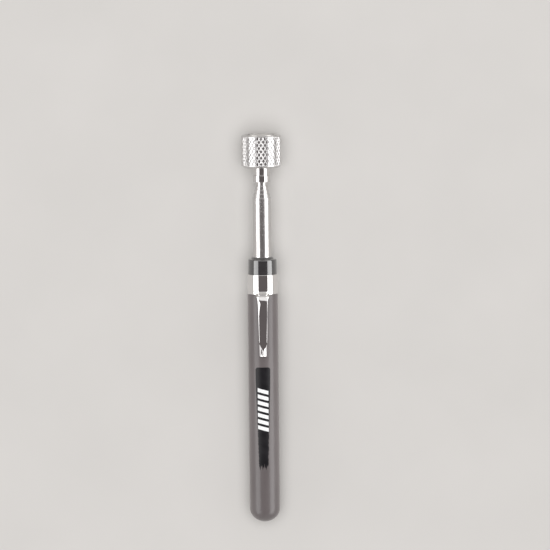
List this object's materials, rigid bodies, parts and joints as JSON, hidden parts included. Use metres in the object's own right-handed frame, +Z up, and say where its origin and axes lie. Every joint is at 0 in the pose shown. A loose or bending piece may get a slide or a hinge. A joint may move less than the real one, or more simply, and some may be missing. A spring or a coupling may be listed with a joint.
{
  "type": "telescoping magnetic pickup tool",
  "caption": "Pen-style telescoping magnetic pickup tool: knurled magnet head on a chrome mast, soft grip handle and sprung pocket clip.",
  "frame": {"origin": "centre of the closed tool's length, straight below the tool's axis, level with the lowest point of the head's rim", "axes": "+X along the tool towards the magnet face, +Z up towards the side that carries the pocket clip, +Y across"},
  "size_m": [0.1968, 0.02, 0.0201],
  "materials": {
    "grip_vinyl": "satin dipped vinyl",
    "core_plastic": "matt moulded",
    "label_foil": "gloss print with a pale bar mark",
    "bushing_plastic": "gloss moulded",
    "clip_chrome": "polished plating",
    "mast_chrome": "polished plating with fine draw lines",
    "collar_chrome": "turned and plated",
    "head_chrome": "plated diamond knurl",
    "cup_steel": "turned and plated",
    "plain_steel": "zinc plated",
    "bush_brass": "rolled strip",
    "ring_nylon": "matt moulded",
    "magnet_nickel": "nickel plating, lightly scuffed"
  },
  "bodies": {
    "handle": {"grip_sleeve": "grip_vinyl", "handle_core": "core_plastic", "end_plug": "core_plastic", "label_panel": "label_foil", "neck_bushing": "bushing_plastic", "clip_band": "clip_chrome", "tube_1": "mast_chrome"},
    "clip": {"pocket_clip": "clip_chrome"},
    "stage_2": {"tube_2": "mast_chrome", "stop_bush_2": "bush_brass"},
    "stage_3": {"tube_3": "mast_chrome", "stop_bush_3": "bush_brass"},
    "stage_4": {"tube_4": "mast_chrome", "stop_bush_4": "bush_brass"},
    "stage_5": {"stop_bush_5": "bush_brass"},
    "head": {"tube_5": "mast_chrome", "tip_plug": "plain_steel", "head_collar": "collar_chrome", "head_screw": "plain_steel", "knurled_sleeve": "head_chrome", "pole_cup": "cup_steel", "spacer_ring": "ring_nylon", "magnet_disc": "magnet_nickel"}
  },
  "joints": [
    {"name": "stage_2_slide", "type": "slide", "parent": "handle", "child": "stage_2", "axis": [1, 0, 0], "range_m": [0, 0.14605]},
    {"name": "stage_3_slide", "type": "slide", "parent": "stage_2", "child": "stage_3", "axis": [1, 0, 0], "range_m": [0, 0.14605]},
    {"name": "stage_4_slide", "type": "slide", "parent": "stage_3", "child": "stage_4", "axis": [1, 0, 0], "range_m": [0, 0.14605]},
    {"name": "stage_5_slide", "type": "slide", "parent": "stage_4", "child": "stage_5", "axis": [1, 0, 0], "range_m": [0, 0.14605]},
    {"name": "head_turn", "type": "hinge", "parent": "stage_5", "child": "head", "pos_m": [0, 0, 0.01005], "axis": [1, 0, 0], "continuous": true},
    {"name": "clip_flex", "type": "hinge", "parent": "handle", "child": "clip", "pos_m": [0.01784, 0, 0.01815], "axis": [0, 1, 0], "range_deg": [0, 4], "stiffness_Nm_per_rad": 2.5, "springref_deg": -1.15}
  ]
}
